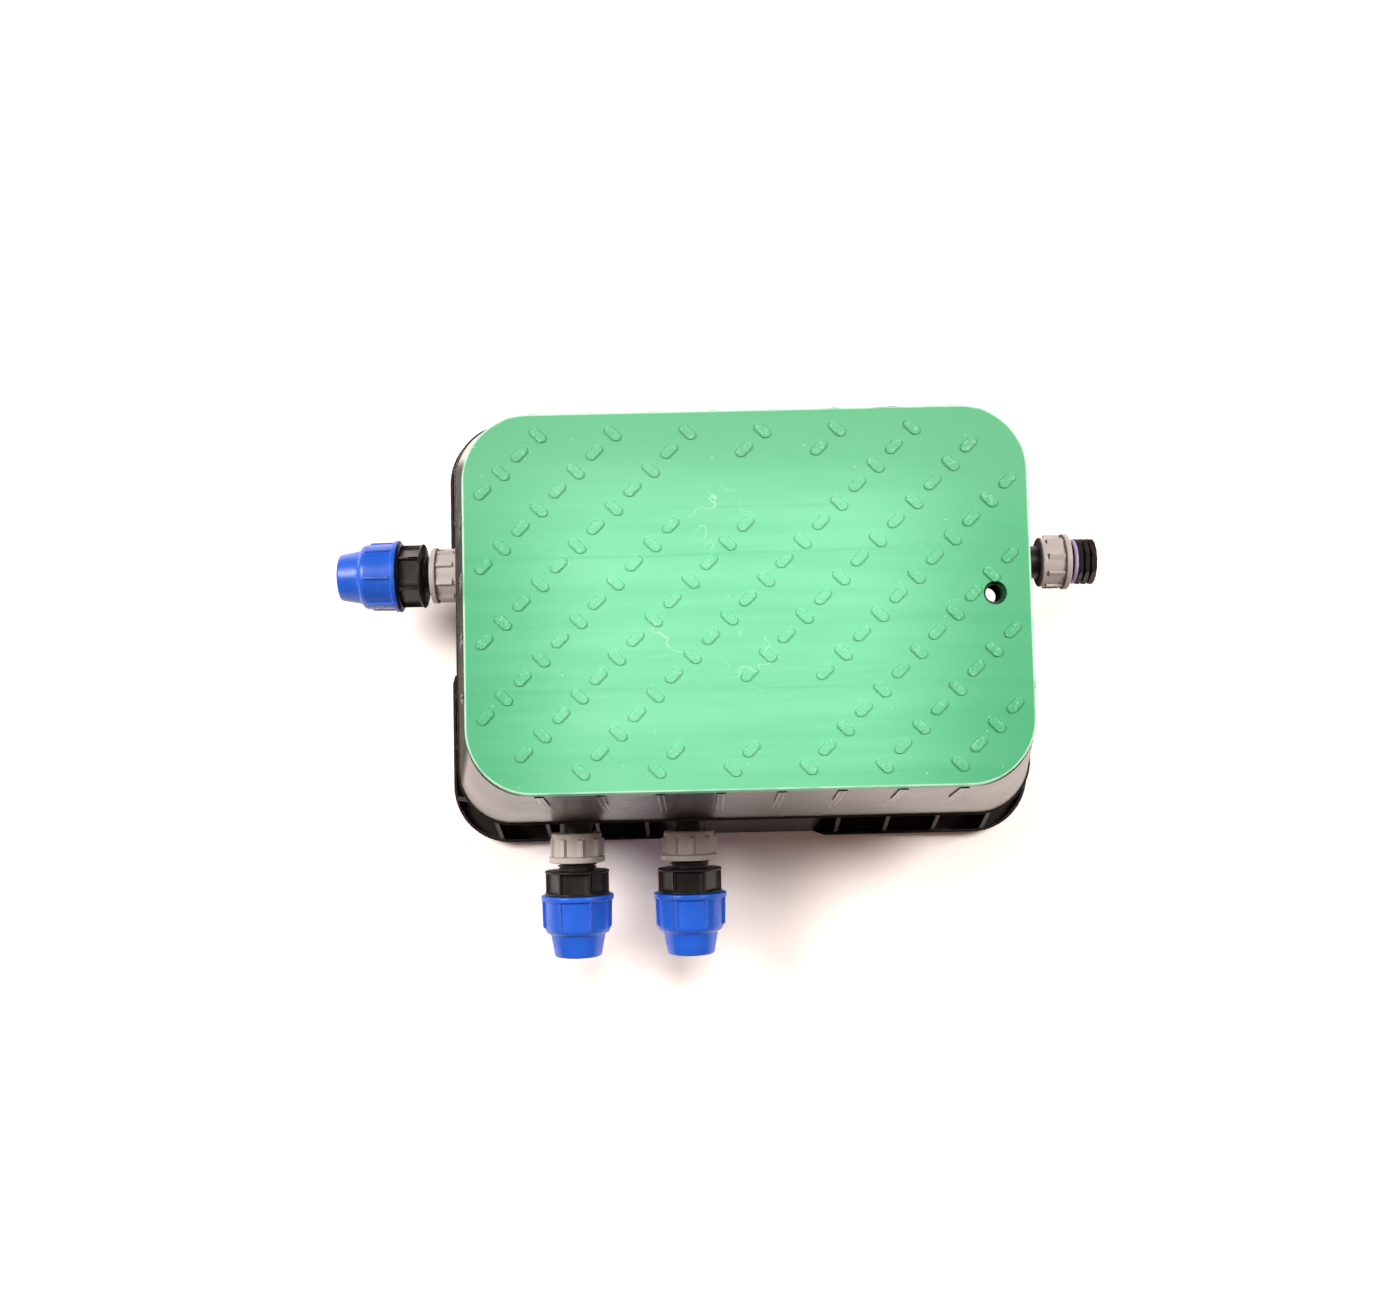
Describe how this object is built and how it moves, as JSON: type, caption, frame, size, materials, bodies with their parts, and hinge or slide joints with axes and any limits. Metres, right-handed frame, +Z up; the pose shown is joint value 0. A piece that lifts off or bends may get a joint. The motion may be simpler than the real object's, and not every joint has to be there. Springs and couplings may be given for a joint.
{
  "type": "irrigation valve box",
  "caption": "Rectangular irrigation valve box with a studded lid, holding a header with solenoid valves, swivel unions and compression fittings.",
  "frame": {"origin": "on the ground at the middle of the box's open bottom", "axes": "+X towards the plugged end of the header, +Y away from the outlets, +Z up"},
  "size_m": [0.6793, 0.4977, 0.3033],
  "materials": {
    "lid_green": "moulded plastic, faint streaks and scuffs",
    "box_black": "moulded plastic, satin",
    "nut_grey": "moulded plastic",
    "nut_blue": "moulded plastic, glossy",
    "fitting_black": "moulded plastic, semi-gloss",
    "pipe_black": "moulded plastic, semi-gloss",
    "valve_body": "glass-filled plastic, semi-gloss",
    "steel": "stainless steel",
    "rubber_black": "moulded rubber",
    "rubber_lilac": "moulded rubber, pale lilac",
    "ring_white": "moulded plastic",
    "solenoid_black": "moulded plastic",
    "knob_grey": "moulded plastic"
  },
  "bodies": {
    "root": {"adapter_inlet": "fitting_black", "adapter_outlet_1": "fitting_black", "adapter_outlet_2": "fitting_black", "bonnet_screws_1": "steel", "bonnet_screws_2": "steel", "box_body": "box_black", "diaphragm_1": "rubber_black", "diaphragm_2": "rubber_black", "diaphragm_spring_1": "steel", "diaphragm_spring_2": "steel", "extension_tube": "pipe_black", "grip_ring_inlet": "ring_white", "grip_ring_outlet_1": "ring_white", "grip_ring_outlet_2": "ring_white", "inlet_tube": "pipe_black", "manifold_tee_1": "pipe_black", "manifold_tee_2": "pipe_black", "outlet_tube_1": "pipe_black", "outlet_tube_2": "pipe_black", "packing_bush_inlet": "ring_white", "packing_bush_outlet_1": "ring_white", "packing_bush_outlet_2": "ring_white", "pipe_seal_inlet": "rubber_black", "pipe_seal_outlet_1": "rubber_black", "pipe_seal_outlet_2": "rubber_black", "union_washers": "rubber_black", "valve_body_1": "valve_body", "valve_body_2": "valve_body", "valve_bonnet_1": "valve_body", "valve_bonnet_2": "valve_body"},
    "lid": {"lid": "lid_green"},
    "swivel_nut_extension": {"swivel_nut_extension": "nut_grey"},
    "swivel_nut_header": {"swivel_nut_header": "nut_grey"},
    "swivel_nut_inlet": {"swivel_nut_inlet": "nut_grey"},
    "swivel_nut_middle": {"swivel_nut_middle": "nut_grey"},
    "swivel_nut_outlet_1": {"swivel_nut_outlet_1": "nut_grey"},
    "swivel_nut_outlet_2": {"swivel_nut_outlet_2": "nut_grey"},
    "swivel_nut_plug": {"swivel_nut_plug": "nut_grey"},
    "swivel_nut_valve_inlet_1": {"swivel_nut_valve_inlet_1": "nut_grey"},
    "swivel_nut_valve_inlet_2": {"swivel_nut_valve_inlet_2": "nut_grey"},
    "swivel_nut_valve_outlet_1": {"swivel_nut_valve_outlet_1": "nut_grey"},
    "swivel_nut_valve_outlet_2": {"swivel_nut_valve_outlet_2": "nut_grey"},
    "compression_nut_inlet": {"compression_nut_inlet": "nut_blue"},
    "compression_nut_outlet_1": {"compression_nut_outlet_1": "nut_blue"},
    "compression_nut_outlet_2": {"compression_nut_outlet_2": "nut_blue"},
    "end_plug": {"end_plug": "fitting_black", "plug_seal": "rubber_lilac"},
    "flow_knob_1": {"flow_knob_1": "knob_grey"},
    "bleed_screw_1": {"bleed_screw_1": "knob_grey"},
    "solenoid_1": {"solenoid_1": "solenoid_black"},
    "solenoid_plunger_1": {"solenoid_plunger_1": "steel"},
    "flow_knob_2": {"flow_knob_2": "knob_grey"},
    "bleed_screw_2": {"bleed_screw_2": "knob_grey"},
    "solenoid_2": {"solenoid_2": "solenoid_black"},
    "solenoid_plunger_2": {"solenoid_plunger_2": "steel"}
  },
  "joints": [
    {"name": "lid_tilt", "type": "hinge", "parent": "root", "child": "lid", "pos_m": [-0.218, 0, 0.2905], "axis": [0, -1, 0], "range_deg": [0, 70]},
    {"name": "swivel_nut_inlet_turn", "type": "hinge", "parent": "root", "child": "swivel_nut_inlet", "pos_m": [-0.258, 0.0465, 0.1], "axis": [-1, 0, 0], "continuous": true},
    {"name": "swivel_nut_header_turn", "type": "hinge", "parent": "root", "child": "swivel_nut_header", "pos_m": [-0.196, 0.0465, 0.1], "axis": [1, 0, 0], "continuous": true},
    {"name": "swivel_nut_middle_turn", "type": "hinge", "parent": "root", "child": "swivel_nut_middle", "pos_m": [-0.096, 0.0465, 0.1], "axis": [1, 0, 0], "continuous": true},
    {"name": "swivel_nut_extension_turn", "type": "hinge", "parent": "root", "child": "swivel_nut_extension", "pos_m": [0.004, 0.0465, 0.1], "axis": [1, 0, 0], "continuous": true},
    {"name": "swivel_nut_plug_turn", "type": "hinge", "parent": "root", "child": "swivel_nut_plug", "pos_m": [0.279, 0.0465, 0.1], "axis": [1, 0, 0], "continuous": true},
    {"name": "swivel_nut_valve_inlet_1_turn", "type": "hinge", "parent": "root", "child": "swivel_nut_valve_inlet_1", "pos_m": [-0.15, 0.0105, 0.1], "axis": [0, -1, 0], "continuous": true},
    {"name": "swivel_nut_valve_outlet_1_turn", "type": "hinge", "parent": "root", "child": "swivel_nut_valve_outlet_1", "pos_m": [-0.15, -0.1095, 0.1], "axis": [0, 1, 0], "continuous": true},
    {"name": "swivel_nut_outlet_1_turn", "type": "hinge", "parent": "root", "child": "swivel_nut_outlet_1", "pos_m": [-0.15, -0.1955, 0.1], "axis": [0, -1, 0], "continuous": true},
    {"name": "swivel_nut_valve_inlet_2_turn", "type": "hinge", "parent": "root", "child": "swivel_nut_valve_inlet_2", "pos_m": [-0.05, 0.0105, 0.1], "axis": [0, -1, 0], "continuous": true},
    {"name": "swivel_nut_valve_outlet_2_turn", "type": "hinge", "parent": "root", "child": "swivel_nut_valve_outlet_2", "pos_m": [-0.05, -0.1095, 0.1], "axis": [0, 1, 0], "continuous": true},
    {"name": "swivel_nut_outlet_2_turn", "type": "hinge", "parent": "root", "child": "swivel_nut_outlet_2", "pos_m": [-0.05, -0.1955, 0.1], "axis": [0, -1, 0], "continuous": true},
    {"name": "compression_nut_inlet_turn", "type": "hinge", "parent": "root", "child": "compression_nut_inlet", "pos_m": [-0.33, 0.0465, 0.1], "axis": [-1, 0, 0], "continuous": true},
    {"name": "compression_nut_outlet_1_turn", "type": "hinge", "parent": "root", "child": "compression_nut_outlet_1", "pos_m": [-0.15, -0.27, 0.1], "axis": [0, -1, 0], "continuous": true},
    {"name": "compression_nut_outlet_2_turn", "type": "hinge", "parent": "root", "child": "compression_nut_outlet_2", "pos_m": [-0.05, -0.27, 0.1], "axis": [0, -1, 0], "continuous": true},
    {"name": "end_plug_turn", "type": "hinge", "parent": "root", "child": "end_plug", "pos_m": [0.3, 0.0465, 0.1], "axis": [1, 0, 0], "continuous": true},
    {"name": "flow_knob_1_turn", "type": "hinge", "parent": "root", "child": "flow_knob_1", "pos_m": [-0.15, -0.0495, 0.1605], "axis": [0, 0, 1], "range_deg": [0, 900]},
    {"name": "bleed_screw_1_turn", "type": "hinge", "parent": "root", "child": "bleed_screw_1", "pos_m": [-0.174, -0.0495, 0.1605], "axis": [0, 0, 1], "range_deg": [0, 270]},
    {"name": "solenoid_1_turn", "type": "hinge", "parent": "root", "child": "solenoid_1", "pos_m": [-0.15, -0.0835, 0.1605], "axis": [0, 0, 1], "range_deg": [0, 90]},
    {"name": "plunger_1_slide", "type": "slide", "parent": "solenoid_1", "child": "solenoid_plunger_1", "axis": [0, 0, 1], "range_m": [0, 0.002], "stiffness_N_per_m": 200, "springref_m": -0.002},
    {"name": "flow_knob_2_turn", "type": "hinge", "parent": "root", "child": "flow_knob_2", "pos_m": [-0.05, -0.0495, 0.1605], "axis": [0, 0, 1], "range_deg": [0, 900]},
    {"name": "bleed_screw_2_turn", "type": "hinge", "parent": "root", "child": "bleed_screw_2", "pos_m": [-0.074, -0.0495, 0.1605], "axis": [0, 0, 1], "range_deg": [0, 270]},
    {"name": "solenoid_2_turn", "type": "hinge", "parent": "root", "child": "solenoid_2", "pos_m": [-0.05, -0.0835, 0.1605], "axis": [0, 0, 1], "range_deg": [0, 90]},
    {"name": "plunger_2_slide", "type": "slide", "parent": "solenoid_2", "child": "solenoid_plunger_2", "axis": [0, 0, 1], "range_m": [0, 0.002], "stiffness_N_per_m": 200, "springref_m": -0.002}
  ]
}
